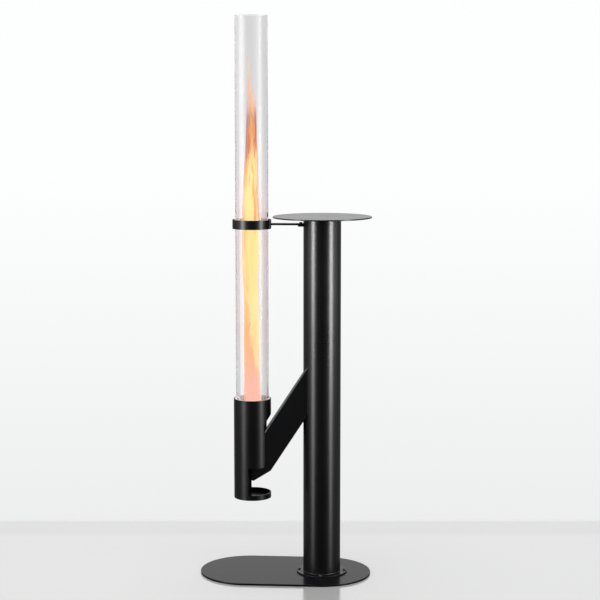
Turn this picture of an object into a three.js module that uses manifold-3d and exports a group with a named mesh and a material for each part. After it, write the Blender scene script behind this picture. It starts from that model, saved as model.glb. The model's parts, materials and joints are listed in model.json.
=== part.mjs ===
// Patio heater with a glass flame tube, fed with wood pellets by gravity.
//
// A round post stands on a flat base plate and is the pellet hopper. A thin round table lies on the
// post as its lid. A sloped feed chute of box section carries the burner sleeve beside the post and
// pours the pellets on a slotted grate inside it. The glass tube stands in the sleeve, over the fire,
// and a hinged ring on a flat bar steadies it at the height of the table.
//
// Millimetres, +Z up. The origin is on the floor under the middle of the base plate. The post stands
// on the +X side and the burner on the -X side, and -Y is the front.

import * as THREE from 'three';
import { mergeVertices } from 'three/addons/utils/BufferGeometryUtils.js';
import Module from 'manifold-3d';

const wasm = await Module();
wasm.setup();

// Base plate
const baseLength = 526;
const baseWidth = 300;
const baseThickness = 6;

// Post, which is also the hopper
const postDiameter = 114.3;
const postWall = 3;
const tubeSpacing = 214; // from the axis of the post to the axis of the burner
const hopperFloorThickness = 3;

// Flange at the foot of the post, and its bolts
const flangeThickness = 4;
const flangeBorder = 7.5; // outside the bolt circle
const boltReach = 12.85; // from the post to the bolt circle
const boltCount = 4;
const boltDiameter = 6;
const boltHeadDiameter = 10;
const boltHeadHeight = 3.3;
const boltSocketWidth = 4;
const boltSocketDepth = 2;
const boltBlind = 1; // plate left under a bolt
const headRimShare = 0.35; // of the height of a screw head
const headShoulderShare = 0.75;
const headShoulderRadiusShare = 0.9; // of the radius of a screw head
const headCrownRadiusShare = 0.62;

// Table, which is the lid of the hopper
const tableHeight = 1108; // floor to the top face
const tableGap = 14; // from the edge of the table to the glass
const tableThickness = 4;
const collarHeight = 25;
const collarWall = 2.5;
const collarClearance = 0.6;

// Burner sleeve
const sleeveWall = 3;
const ashDepth = 59.2; // from the bottom of the sleeve to the lowest point of the chute
const dishRimHeight = 16;
const dishFloorThickness = 3;
const windowHeight = 100; // from the bottom of the sleeve to the top of the half cut
const windowCutOffset = 9; // how far past the axis the half cut goes
const windowLift = 12; // air gap over the top face of the chute
const windowClearance = 0.5; // on each side of the chute

// Glass tube and its seat
const glassDiameter = 100;
const glassWall = 3;
const glassLength = 1200;
const glassInset = 40; // how deep the glass stands in the sleeve
const glassClearance = 0.3; // to the gasket round the foot of the glass
const seatRise = 29.15; // from where the chute enters the sleeve to the seat
const seatThickness = 4;
const seatReach = 1; // of the seat inside the glass
const gasketThickness = 3; // under the glass
const gasketWall = 3.55; // round the foot of the glass

// Feed chute
const chuteSlope = THREE.MathUtils.degToRad(57);
const chuteWidth = 80;
const chuteDepth = 82;
const chuteWall = 3;
const chuteCornerRadius = 4;
const chuteTopHeight = 630; // where the top face meets the wall of the post
const kneeReach = 60; // from the burner axis to the knee in the underside
const grateSlope = THREE.MathUtils.degToRad(32);
const noseReach = 7; // from the burner axis to the lowest point of the chute
const noseRise = 2;
const endReach = -1.6; // from the burner axis to the upright end of the chute
const ledgeWidth = 6;
const ledgeLip = 10;
const ledgeEnd = 6; // thickness of the ledge at the upright end

// Fire grate, a bent plate that lies in the end of the chute
const grateThickness = 3;
const grateClearance = 0.5; // on each side
const grateWallHeight = 62;
const slotWidth = 4;
const slotPitch = 9;
const slotBorder = 7; // solid plate left round the slots
const slotBendBorder = 12; // solid plate left at the bend

// Ring round the glass
const ringHeight = 28;
const ringBand = 3;
const ringDrop = 24; // from the top of the table to the middle of the ring
const hingeAngle = THREE.MathUtils.degToRad(-18);
const knuckleRadius = 4;
const pinDiameter = 4;
const pinHeadDiameter = 7.5;
const pinHeadHeight = 3;
const liningThickness = 4.8;
const liningClearance = 0.9; // to the glass
const seamGap = 0.6;
const catchLap = THREE.MathUtils.degToRad(5); // of the catch behind the fixed half
const catchHold = THREE.MathUtils.degToRad(12); // of the catch on the gate
const catchThickness = 1;
const catchPlay = 0.8; // between the catch and the fixed half
const catchHeight = 14;
const liningSetback = THREE.MathUtils.degToRad(15);
const hingeSetback = THREE.MathUtils.degToRad(9);

// Bar from the post to the ring
const barWidth = 20;
const barThickness = 6;
const bracketLength = 16;
const bracketThickness = 4;
const barScrewInset = 8; // from the post to the screw

// Fits
const weldGap = 0.3; // between welded pieces
const pinClearance = 0.3;
const overrun = 20; // how far a cut runs past what it cuts

// Facets
const tubeFacets = 96;
const smallFacets = 24;
const cornerFacets = 6;
const socketSides = 6;

// Places that follow from the sizes
const postX = (baseLength - baseWidth) / 2;
const burnerX = postX - tubeSpacing;
const postRadius = postDiameter / 2;
const postInnerRadius = postRadius - postWall;
const glassRadius = glassDiameter / 2;
const gasketInnerRadius = glassRadius + glassClearance;
const seatBoreRadius = glassRadius - glassWall - seatReach;
const sleeveInnerRadius = gasketInnerRadius + gasketWall + weldGap;
const sleeveRadius = sleeveInnerRadius + sleeveWall;
const boltCircleRadius = postRadius + boltReach;
const flangeRadius = boltCircleRadius + flangeBorder;
const boltGrip = baseThickness - boltBlind;
const tableRadius = tubeSpacing - glassRadius - tableGap;
const tableUnderside = tableHeight - tableThickness;
const flangeTop = baseThickness + flangeThickness;
const ringInnerRadius = glassRadius + liningClearance + liningThickness + weldGap;
const ringRadius = ringInnerRadius + ringBand;
const ringCentreHeight = tableHeight - ringDrop;
const ringBottom = ringCentreHeight - ringHeight / 2;
const barTop = ringCentreHeight + barThickness / 2;
const barBottom = barTop - barThickness;

// The chute in the XZ plane: heights of its faces above a place x
const chuteTopX = postX - postRadius;
const chuteTopAt = (x) => chuteTopHeight + (x - chuteTopX) * Math.tan(chuteSlope);
const chuteBottomAt = (x) => chuteTopAt(x) - chuteDepth / Math.cos(chuteSlope);
const kneeX = burnerX + kneeReach;
const kneeZ = chuteBottomAt(kneeX);
const noseX = burnerX + noseReach;
const endX = burnerX + endReach;
const ledgeEndX = endX + ledgeEnd;
const undersideAt = (x) => kneeZ - (kneeX - x) * Math.tan(grateSlope);
const noseZ = undersideAt(noseX);
const endZ = noseZ + noseRise;
const chuteInnerWidth = chuteWidth - 2 * chuteWall;

// Heights that follow from the chute
const sleeveBottom = noseZ - ashDepth;
const seatTop = chuteTopAt(burnerX + sleeveInnerRadius) + seatRise + seatThickness;
const glassBottom = seatTop + gasketThickness;
const sleeveTop = glassBottom + glassInset;

const steel = (name, color, roughness) =>
  new THREE.MeshStandardMaterial({ name, color, roughness, metalness: 0.2 });
const materials = {
  coat: steel('black_coat', 0x111213, 0.42),
  hardware: steel('dark_hardware', 0x101113, 0.35),
  bare: steel('heat_blued_steel', 0x35302c, 0.55),
  spring: steel('spring_steel', 0x55585c, 0.35),
  gasket: new THREE.MeshStandardMaterial({ name: 'fibre_gasket', color: 0xcdc9c0, roughness: 0.95 }),
  glass: new THREE.MeshStandardMaterial({
    name: 'clear_glass', color: 0xf2f5f4, roughness: 0.03, transparent: true, opacity: 0.25,
  }),
};

// Closed geometry to solid, and back

function solidOf(geometry) {
  const bare = geometry.clone();
  bare.deleteAttribute('normal');
  bare.deleteAttribute('uv');
  const merged = mergeVertices(bare);
  const corners = merged.index.array;
  const kept = [];
  for (let i = 0; i < corners.length; i += 3) {
    const [a, b, c] = [corners[i], corners[i + 1], corners[i + 2]];
    if (a !== b && b !== c && c !== a) kept.push(a, b, c);
  }
  return new wasm.Manifold(new wasm.Mesh({
    numProp: 3,
    vertProperties: new Float32Array(merged.attributes.position.array),
    triVerts: new Uint32Array(kept),
  }));
}

function geometryOf(solid) {
  const mesh = solid.getMesh();
  const geometry = new THREE.BufferGeometry();
  geometry.setAttribute('position', new THREE.BufferAttribute(new Float32Array(mesh.vertProperties), 3));
  geometry.setIndex(new THREE.BufferAttribute(new Uint32Array(mesh.triVerts), 1));
  geometry.computeVertexNormals();
  return geometry;
}

// Basic solids, upright along Z and standing at height bottom

function rod(radius, bottom, top, facets = tubeFacets, x = 0, y = 0) {
  const geometry = new THREE.CylinderGeometry(radius, radius, top - bottom, facets);
  geometry.rotateX(Math.PI / 2);
  geometry.translate(x, y, (bottom + top) / 2);
  return solidOf(geometry);
}

function revolved(points, facets = tubeFacets) {
  const profile = points.map(([r, z]) => new THREE.Vector2(r, z));
  const geometry = new THREE.LatheGeometry([...profile, profile[0]], facets);
  geometry.rotateX(Math.PI / 2);
  return solidOf(geometry);
}

function pipe(outerRadius, innerRadius, bottom, top) {
  return revolved([
    [innerRadius, bottom], [outerRadius, bottom], [outerRadius, top], [innerRadius, top],
  ]);
}

function block(x0, x1, y0, y1, z0, z1) {
  const geometry = new THREE.BoxGeometry(x1 - x0, y1 - y0, z1 - z0);
  geometry.translate((x0 + x1) / 2, (y0 + y1) / 2, (z0 + z1) / 2);
  return solidOf(geometry);
}

// A prism with an outline of [x, z] points, running across from y0 to y1
function crossPrism(outline, y0, y1) {
  const shape = new THREE.Shape(outline.map(([x, z]) => new THREE.Vector2(x, z)));
  const geometry = new THREE.ExtrudeGeometry(shape, { depth: y1 - y0, bevelEnabled: false });
  geometry.rotateX(Math.PI / 2);
  geometry.translate(0, y1, 0);
  return solidOf(geometry);
}

function plate(shape, bottom, top, curveSegments) {
  const geometry = new THREE.ExtrudeGeometry(shape, {
    depth: top - bottom, bevelEnabled: false, curveSegments,
  });
  geometry.translate(0, 0, bottom);
  return solidOf(geometry);
}

// Part of a flat ring between two angles
function arcBand(outerRadius, innerRadius, from, to, bottom, top) {
  const shape = new THREE.Shape();
  shape.absarc(0, 0, outerRadius, from, to, false);
  shape.absarc(0, 0, innerRadius, to, from, true);
  // An arc in a shape gets two steps for each curve segment
  const segments = Math.max(2, Math.round((tubeFacets * (to - from)) / (4 * Math.PI)));
  return plate(shape, bottom, top, segments);
}

// Placed along the chute: x runs across it, y out of its top face and z up along it
function alongChute(geometry) {
  const across = new THREE.Vector3(0, 1, 0);
  const up = new THREE.Vector3(Math.cos(chuteSlope), 0, Math.sin(chuteSlope));
  const out = new THREE.Vector3(-Math.sin(chuteSlope), 0, Math.cos(chuteSlope));
  const place = new THREE.Matrix4().makeBasis(across, out, up);
  place.setPosition(chuteTopX, 0, chuteTopHeight);
  return solidOf(geometry.applyMatrix4(place));
}

function roundedSection(width, depth, radius, topInset) {
  const shape = new THREE.Shape();
  const right = width / 2;
  const top = -topInset;
  const bottom = top - depth;
  shape.absarc(right - radius, top - radius, radius, 0, Math.PI / 2, false);
  shape.absarc(-right + radius, top - radius, radius, Math.PI / 2, Math.PI, false);
  shape.absarc(-right + radius, bottom + radius, radius, Math.PI, 1.5 * Math.PI, false);
  shape.absarc(right - radius, bottom + radius, radius, 1.5 * Math.PI, 2 * Math.PI, false);
  return shape;
}

function chuteRun(inset, down, up) {
  const radius = chuteCornerRadius - inset;
  const shape = roundedSection(chuteWidth - 2 * inset, chuteDepth - 2 * inset, radius, inset);
  const geometry = new THREE.ExtrudeGeometry(shape, {
    depth: down + up, bevelEnabled: false, curveSegments: cornerFacets / 2,
  });
  geometry.translate(0, 0, -down);
  return alongChute(geometry);
}

// Base plate, flange and bolts

const boltPlaces = Array.from({ length: boltCount }, (_, i) => {
  const angle = (2 * Math.PI * i) / boltCount;
  return [
    postX + boltCircleRadius * Math.cos(angle),
    boltCircleRadius * Math.sin(angle),
  ];
});

function withBoltHoles(solid, bottom, top) {
  const radius = boltDiameter / 2 + pinClearance;
  return boltPlaces.reduce(
    (body, [x, y]) => body.subtract(rod(radius, bottom, top, smallFacets, x, y)),
    solid,
  );
}

function basePlate() {
  const radius = baseWidth / 2;
  const straight = baseLength / 2 - radius;
  const outline = new THREE.Shape();
  outline.absarc(straight, 0, radius, -Math.PI / 2, Math.PI / 2, false);
  outline.absarc(-straight, 0, radius, Math.PI / 2, 1.5 * Math.PI, false);
  const solid = plate(outline, 0, baseThickness, tubeFacets / 4);
  return withBoltHoles(solid, baseThickness - boltGrip - pinClearance, baseThickness + overrun);
}

function postFlange() {
  const ring = pipe(flangeRadius, postRadius + weldGap, baseThickness, flangeTop);
  return withBoltHoles(ring.translate(postX, 0, 0), baseThickness - overrun, flangeTop + overrun);
}

// A low round head with a six sided socket, and its shank
function buttonScrew(headRadius, headHeight, shankRadius, shankLength) {
  const rim = headHeight * headRimShare;
  const head = revolved([
    [0, 0], [headRadius, 0], [headRadius, rim],
    [headRadius * headShoulderRadiusShare, headHeight * headShoulderShare],
    [headRadius * headCrownRadiusShare, headHeight], [0, headHeight],
  ], smallFacets);
  const socketRadius = boltSocketWidth / Math.sqrt(3);
  const socket = rod(socketRadius, headHeight - boltSocketDepth, headHeight + overrun, socketSides);
  const shank = rod(shankRadius, -shankLength, rim / 2, smallFacets);
  return head.add(shank).subtract(socket);
}

function flangeBolt() {
  return buttonScrew(
    boltHeadDiameter / 2, boltHeadHeight, boltDiameter / 2, flangeThickness + boltGrip,
  );
}

// Post with the port that opens into the chute, and the sloped floor of the hopper

function postTube() {
  const tube = pipe(postRadius, postInnerRadius, baseThickness, tableUnderside).translate(postX, 0, 0);
  const chord = Math.sqrt(postInnerRadius ** 2 - (chuteInnerWidth / 2) ** 2);
  const runIn = (postRadius - chord) / Math.cos(chuteSlope);
  const port = chuteRun(chuteWall, postDiameter, runIn)
    .intersect(block(postX - postDiameter, postX, -postRadius, postRadius, 0, tableUnderside));
  return tube.subtract(port);
}

function hopperFloor() {
  const floorTopAt = (x) => chuteBottomAt(x) + chuteWall / Math.cos(chuteSlope);
  const drop = hopperFloorThickness / Math.cos(chuteSlope);
  const left = postX - postRadius;
  const right = postX + postRadius;
  const slab = crossPrism([
    [left, floorTopAt(left) - drop], [right, floorTopAt(right) - drop],
    [right, floorTopAt(right)], [left, floorTopAt(left)],
  ], -postRadius, postRadius);
  const bore = rod(postInnerRadius - weldGap, baseThickness, tableUnderside, tubeFacets, postX);
  return slab.intersect(bore);
}

// Table and the collar under it that drops into the post

function tableTop() {
  return rod(tableRadius, tableUnderside, tableHeight, tubeFacets, postX);
}

function tableCollar() {
  const radius = postInnerRadius - collarClearance;
  return pipe(radius, radius - collarWall, tableUnderside - collarHeight, tableUnderside)
    .translate(postX, 0, 0);
}

// Burner sleeve: a tube with a half cut over the ash dish and a window for the chute

function burnerSleeve() {
  const tube = pipe(sleeveRadius, sleeveInnerRadius, sleeveBottom, sleeveTop).translate(burnerX, 0, 0);
  const windowTop = sleeveBottom + windowHeight;
  const right = burnerX + sleeveRadius + overrun;
  const halfCut = block(
    burnerX - windowCutOffset, right, -sleeveRadius - overrun, sleeveRadius + overrun,
    sleeveBottom + dishRimHeight, windowTop,
  );
  const rise = windowLift / Math.cos(chuteSlope);
  const halfWidth = chuteWidth / 2 + windowClearance;
  const chuteCut = crossPrism([
    [burnerX, windowTop - sleeveWall], [right, windowTop - sleeveWall],
    [right, chuteTopAt(right) + rise], [burnerX, chuteTopAt(burnerX) + rise],
  ], -halfWidth, halfWidth);
  return tube.subtract(halfCut).subtract(chuteCut);
}

function dishFloor() {
  const radius = sleeveInnerRadius - weldGap;
  return rod(radius, sleeveBottom, sleeveBottom + dishFloorThickness, tubeFacets, burnerX);
}

// Seat, gasket and glass

function glassSeat() {
  const outer = sleeveInnerRadius - weldGap;
  return pipe(outer, seatBoreRadius, seatTop - seatThickness, seatTop).translate(burnerX, 0, 0);
}

function seatGasket() {
  const outer = sleeveInnerRadius - weldGap;
  return revolved([
    [seatBoreRadius, seatTop], [outer, seatTop], [outer, sleeveTop], [gasketInnerRadius, sleeveTop],
    [gasketInnerRadius, glassBottom], [seatBoreRadius, glassBottom],
  ]).translate(burnerX, 0, 0);
}

function glassTube() {
  return pipe(glassRadius, glassRadius - glassWall, glassBottom, glassBottom + glassLength)
    .translate(burnerX, 0, 0);
}

// Feed chute: a box section coped to the post, with an upright end and a raised underside in the
// burner, open on top inside the sleeve, and two ledges that carry the grate

function feedChute() {
  const down = tubeSpacing / Math.cos(chuteSlope);
  const halfWidth = chuteWidth / 2;
  const runIn = (postRadius - Math.sqrt(postRadius ** 2 - halfWidth ** 2)) / Math.cos(chuteSlope);
  const shell = chuteRun(0, down, runIn).subtract(chuteRun(chuteWall, down + overrun, runIn + overrun));
  const post = rod(postRadius + weldGap, 0, tableHeight, tubeFacets, postX);
  const past = endX - tubeSpacing;
  const beyond = block(past, endX, -chuteWidth, chuteWidth, 0, tableHeight);
  const under = crossPrism([
    [kneeX, 0], [kneeX, kneeZ], [noseX, noseZ], [endX, endZ], [past, endZ], [past, 0],
  ], -chuteWidth, chuteWidth);
  const lidEndX = burnerX + Math.sqrt(sleeveRadius ** 2 - halfWidth ** 2);
  const above = crossPrism([
    [past, chuteTopAt(past) - chuteDepth], [lidEndX, chuteTopAt(lidEndX) - chuteDepth],
    [lidEndX, tableHeight], [past, tableHeight],
  ], -chuteInnerWidth / 2, chuteInnerWidth / 2);
  const cutShell = shell.subtract(post).subtract(beyond).subtract(under).subtract(above);
  return [-1, 1].reduce((body, side) => body.add(grateLedge(side)), cutShell);
}

function grateLedge(side) {
  const rise = chuteWall / Math.cos(grateSlope);
  const inner = side * (chuteInnerWidth / 2 - ledgeWidth);
  const outer = side * (chuteInnerWidth / 2 + chuteWall / 2);
  return crossPrism([
    [kneeX, kneeZ], [kneeX, kneeZ + rise], [ledgeEndX, undersideAt(ledgeEndX) + rise],
    [ledgeEndX, endZ + ledgeLip], [endX, endZ + ledgeLip], [endX, endZ], [noseX, noseZ],
  ], Math.min(inner, outer), Math.max(inner, outer));
}

function fireGrate() {
  const lift = chuteWall / Math.cos(grateSlope) + weldGap;
  const thick = grateThickness / Math.cos(grateSlope);
  const wedge = chuteWall / Math.cos(chuteSlope) / (Math.tan(chuteSlope) - Math.tan(grateSlope));
  const left = ledgeEndX + weldGap;
  const bend = left + grateThickness;
  const right = kneeX - wedge - weldGap;
  const top = endZ + grateWallHeight;
  const halfWidth = chuteInnerWidth / 2 - grateClearance;
  const bent = crossPrism([
    [left, undersideAt(left) + lift], [right, undersideAt(right) + lift],
    [right, undersideAt(right) + lift + thick], [bend, undersideAt(bend) + lift + thick],
    [bend, top], [left, top],
  ], -halfWidth, halfWidth);
  const low = undersideAt(left);
  const slotRoom = 2 * (halfWidth - slotBorder) - slotWidth;
  const slotCount = Math.floor(slotRoom / slotPitch) + 1;
  const slots = Array.from({ length: slotCount }, (_, i) => {
    const y = (i - (slotCount - 1) / 2) * slotPitch;
    const half = slotWidth / 2;
    const floorSlot = block(
      bend + slotBorder, right - slotBorder, y - half, y + half, low - overrun, kneeZ + overrun,
    );
    const wallSlot = block(
      left - overrun, bend + slotBorder / 2, y - half, y + half,
      undersideAt(bend) + slotBendBorder + lift, top - slotBorder,
    );
    return floorSlot.add(wallSlot);
  });
  return slots.reduce((body, slot) => body.subtract(slot), bent);
}

// Bar, bracket and screw

function besidePost(solid) {
  return solid.subtract(rod(postRadius + weldGap, 0, tableHeight, tubeFacets, postX));
}

const barScrewX = postX - postRadius - barScrewInset;

function screwHole(bottom, top) {
  return rod(boltDiameter / 2 + pinClearance, bottom, top, smallFacets, barScrewX);
}

function supportBar() {
  const bar = block(
    burnerX, postX - postRadius / 2, -barWidth / 2, barWidth / 2, barBottom, barTop,
  );
  const ring = rod(ringRadius + weldGap, barBottom - overrun, barTop + overrun, tubeFacets, burnerX);
  return besidePost(bar).subtract(ring).subtract(screwHole(barBottom - overrun, barTop + overrun));
}

function barBracket() {
  const left = postX - postRadius - bracketLength;
  const tab = block(
    left, postX - postRadius / 2, -barWidth / 2, barWidth / 2, barBottom - bracketThickness, barBottom,
  );
  return besidePost(tab).subtract(screwHole(barBottom - overrun, barBottom + overrun));
}

function barScrew() {
  return buttonScrew(
    boltHeadDiameter / 2, boltHeadHeight, boltDiameter / 2, barThickness + bracketThickness,
  ).translate(barScrewX, 0, barTop);
}

// Ring round the glass: a fixed half on the bar, a gate that swings on a pin, a catch and linings.
// Each is shaped round the origin and placed on the axis of the burner.

const bandRadius = ringRadius - ringBand / 2;
const hingeX = bandRadius * Math.cos(hingeAngle);
const hingeY = bandRadius * Math.sin(hingeAngle);
const ringTop = ringBottom + ringHeight;
const knuckleLow = ringBottom + ringHeight / 3;
const knuckleHigh = ringTop - ringHeight / 3;

const barrel = (radius, bottom, top) => rod(radius, bottom, top, smallFacets, hingeX, hingeY);

function ringRear() {
  const seam = seamGap / 2 / ringRadius;
  const band = arcBand(ringRadius, ringInnerRadius, hingeAngle, Math.PI - seam, ringBottom, ringTop);
  const room = knuckleRadius + pinClearance;
  return band
    .subtract(barrel(room, ringBottom - overrun, knuckleLow + pinClearance))
    .subtract(barrel(room, knuckleHigh - pinClearance, ringTop + overrun))
    .add(barrel(knuckleRadius, knuckleLow + pinClearance, knuckleHigh - pinClearance))
    .subtract(barrel(pinDiameter / 2 + pinClearance, ringBottom - overrun, ringTop + overrun));
}

function ringGate() {
  const seam = seamGap / 2 / ringRadius;
  const band = arcBand(ringRadius, ringInnerRadius, seam - Math.PI, hingeAngle, ringBottom, ringTop);
  const room = knuckleRadius + pinClearance;
  return band
    .subtract(barrel(room, knuckleLow, knuckleHigh))
    .add(barrel(knuckleRadius, ringBottom, knuckleLow))
    .add(barrel(knuckleRadius, knuckleHigh, ringTop))
    .subtract(barrel(pinDiameter / 2 + pinClearance, ringBottom - overrun, ringTop + overrun));
}

function ringPin() {
  const head = barrel(pinHeadDiameter / 2, ringTop + weldGap / 2, ringTop + weldGap / 2 + pinHeadHeight);
  return barrel(pinDiameter / 2, ringBottom, ringTop + pinHeadHeight / 2).add(head);
}

function ringCatch() {
  const seam = seamGap / 2 / ringRadius;
  const outer = ringInnerRadius - catchPlay;
  const low = ringCentreHeight - catchHeight / 2;
  const high = low + catchHeight;
  const hold = catchHold - Math.PI;
  const strip = arcBand(outer, outer - catchThickness, -Math.PI - catchLap, hold, low, high);
  const foot = arcBand(
    ringInnerRadius - weldGap, outer - catchThickness / 2, seam - Math.PI, hold, low, high,
  );
  return strip.add(foot);
}

function ringLining(from, to) {
  const outer = ringInnerRadius - weldGap;
  return arcBand(outer, outer - liningThickness, from, to, ringBottom, ringTop);
}

// The object

const heater = new THREE.Group();
heater.name = 'patio_heater';

function place(name, solid, material, x = 0, y = 0, z = 0) {
  const mesh = new THREE.Mesh(geometryOf(solid), material);
  mesh.name = name;
  mesh.position.set(x, y, z);
  heater.add(mesh);
  return mesh;
}

place('base_plate', basePlate(), materials.coat);
place('post_flange', postFlange(), materials.coat);
boltPlaces.forEach(([x, y], i) => {
  place(`flange_bolt_${i + 1}`, flangeBolt(), materials.hardware, x, y, flangeTop);
});
place('post_tube', postTube(), materials.coat);
place('hopper_floor', hopperFloor(), materials.bare);

place('table_top', tableTop(), materials.coat);
place('table_collar', tableCollar(), materials.coat);

place('feed_chute', feedChute(), materials.coat);
place('fire_grate', fireGrate(), materials.bare);

place('burner_sleeve', burnerSleeve(), materials.coat);
place('dish_floor', dishFloor(), materials.coat);
place('glass_seat', glassSeat(), materials.bare);
place('seat_gasket', seatGasket(), materials.gasket);
place('glass_tube', glassTube(), materials.glass);

place('bar_bracket', barBracket(), materials.coat);
place('support_bar', supportBar(), materials.coat);
place('bar_screw', barScrew(), materials.hardware);

place('ring_rear', ringRear(), materials.coat, burnerX);
place('ring_gate', ringGate(), materials.coat, burnerX);
place('ring_pin', ringPin(), materials.hardware, burnerX);
place('ring_catch', ringCatch(), materials.spring, burnerX);
place(
  'ring_lining_rear', ringLining(hingeAngle + hingeSetback, Math.PI - liningSetback),
  materials.gasket, burnerX,
);
place(
  'ring_lining_front', ringLining(liningSetback - Math.PI, hingeAngle - hingeSetback),
  materials.gasket, burnerX,
);

export default heater;
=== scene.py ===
"""Looks of a pellet patio heater round its CAD model: coat, steel, fibre, glass, flame and stage."""

import json
import math

import bmesh
import bpy
from bpy.props import FloatProperty, FloatVectorProperty, IntProperty, PointerProperty
from bpy.types import Operator, Panel, PropertyGroup
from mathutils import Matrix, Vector, noise


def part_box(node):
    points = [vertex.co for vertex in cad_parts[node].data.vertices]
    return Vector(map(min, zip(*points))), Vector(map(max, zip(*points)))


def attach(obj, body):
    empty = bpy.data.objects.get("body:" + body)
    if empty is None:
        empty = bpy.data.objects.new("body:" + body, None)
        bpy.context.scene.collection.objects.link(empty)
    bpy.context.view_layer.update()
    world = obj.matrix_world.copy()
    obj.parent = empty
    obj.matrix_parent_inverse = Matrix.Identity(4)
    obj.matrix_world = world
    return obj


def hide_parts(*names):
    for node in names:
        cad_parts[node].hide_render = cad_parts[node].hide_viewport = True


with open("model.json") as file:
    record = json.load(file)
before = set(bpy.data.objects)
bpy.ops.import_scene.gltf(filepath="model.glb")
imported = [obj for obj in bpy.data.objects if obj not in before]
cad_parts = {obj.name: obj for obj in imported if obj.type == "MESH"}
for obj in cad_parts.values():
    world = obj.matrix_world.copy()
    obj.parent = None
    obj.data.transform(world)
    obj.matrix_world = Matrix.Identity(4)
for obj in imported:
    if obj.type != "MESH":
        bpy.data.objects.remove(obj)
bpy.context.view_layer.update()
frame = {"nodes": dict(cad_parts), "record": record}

bl_info = {
    "name": "Pellet Patio Heater",
    "version": (1, 0, 0),
    "blender": (4, 5, 0),
    "location": "View3D > Sidebar > Heater",
    "description": "Makes the finished pieces of a pellet patio heater round its CAD model",
    "category": "Object",
}

MM = 0.001
TURN = 2 * math.pi
TURNED_SIDES = 192

# Corners closer than this are joined, and faces that turn by less than this are one face
SAME_POINT = 0.005 * MM
FLAT_ANGLE = math.radians(0.2)

# Edges that turn by more than the first are rounded, and by more than the second stay a crease in the shading
SHARP_ANGLE = math.radians(35)
CREASE_ANGLE = math.radians(50)

BODY_OF = {node: body for body, nodes in frame["record"]["behaviour"]["bodies"].items() for node in nodes}
SLOT_OF = {part["node"]: part["material_slot"] for part in frame["record"]["subparts"]}


def middle_of(node):
    """The middle of a CAD node's box."""
    low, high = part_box(node)
    return (low + high) / 2


def bore_of(node):
    """The least distance of a round CAD node's corners from its upright axis."""
    middle = middle_of(node).xy
    return min((corner.co.xy - middle).length for corner in frame["nodes"][node].data.vertices)


def width_of(node):
    """The size of a CAD node along X."""
    low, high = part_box(node)
    return high.x - low.x


GLASS_AXIS = middle_of("glass_tube").xy
POST_AXIS = middle_of("post_tube").xy
POST_RADIUS = width_of("post_tube") / 2

# The slope of the chute and the height of its box section, as in the CAD model
CHUTE_SLOPE = math.radians(57)
CHUTE_DEPTH = 82 * MM


# Sizes, colours and the stage, as a user of the add-on would set them


class HeaterSizes(PropertyGroup):
    """Sizes of what the CAD model leaves to the finish."""

    edge: FloatProperty(
        name="Edge Rounding",
        description="Radius of the rounded edges of the steel pieces",
        default=0.6 * MM,
        min=0.0,
        unit="LENGTH",
    )
    fine_edge: FloatProperty(
        name="Fine Edge Rounding",
        description="Radius of the edges of thin strips, screws and the grate",
        default=0.25 * MM,
        min=0.0,
        unit="LENGTH",
    )
    glass_edge: FloatProperty(
        name="Glass Edge Rounding",
        description="Radius of the fire-polished rims of the glass",
        default=1.2 * MM,
        min=0.0,
        unit="LENGTH",
    )
    weld_width: FloatProperty(
        name="Weld Width",
        description="Width of the widest weld bead, at the foot of the post",
        default=2.6 * MM,
        min=0.0,
        unit="LENGTH",
    )
    weld_pitch: FloatProperty(
        name="Weld Ripple Pitch",
        description="Distance between the ripples of a weld bead",
        default=2.4 * MM,
        min=0.5 * MM,
        unit="LENGTH",
    )
    weld_ripple: FloatProperty(
        name="Weld Ripple Depth",
        description="Share of the bead's width that its ripples rise and fall",
        default=0.04,
        min=0.0,
        max=1.0,
        subtype="FACTOR",
    )
    screw_seed: IntProperty(
        name="Screw Seed",
        description="Seed of the turn that each screw's socket came to rest at",
        default=3,
    )


class HeaterFinish(PropertyGroup):
    """Colours and gloss of the heater's materials."""

    coat: FloatVectorProperty(
        name="Coat",
        description="Colour of the heat-proof coat",
        default=(0.0019, 0.0019, 0.0029),
        subtype="COLOR",
    )
    coat_dust: FloatVectorProperty(
        name="Coat Dust",
        description="Colour of the coat's grain and of the dust that lies on its level faces",
        default=(0.010, 0.010, 0.011),
        subtype="COLOR",
    )
    coat_edge: FloatVectorProperty(
        name="Coat Edge",
        description="Colour of the coat where it is rubbed thin on its edges",
        default=(0.060, 0.060, 0.062),
        subtype="COLOR",
    )
    coat_roughness: FloatProperty(
        name="Coat Roughness",
        description="Mean roughness of the coat",
        default=0.29,
        min=0.0,
        max=1.0,
        subtype="FACTOR",
    )
    heated_roughness: FloatProperty(
        name="Heated Coat Roughness",
        description="Mean roughness of the coat where the fire and the hot glass have dulled it",
        default=0.325,
        min=0.0,
        max=1.0,
        subtype="FACTOR",
    )
    glass: FloatVectorProperty(
        name="Glass",
        description="Tint of the glass through one wall",
        default=(0.862, 0.858, 0.862),
        subtype="COLOR",
    )
    flame_glow: FloatProperty(
        name="Flame Glow",
        description="Strength of the flame's own light",
        default=1.25,
        min=0.0,
    )


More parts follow.
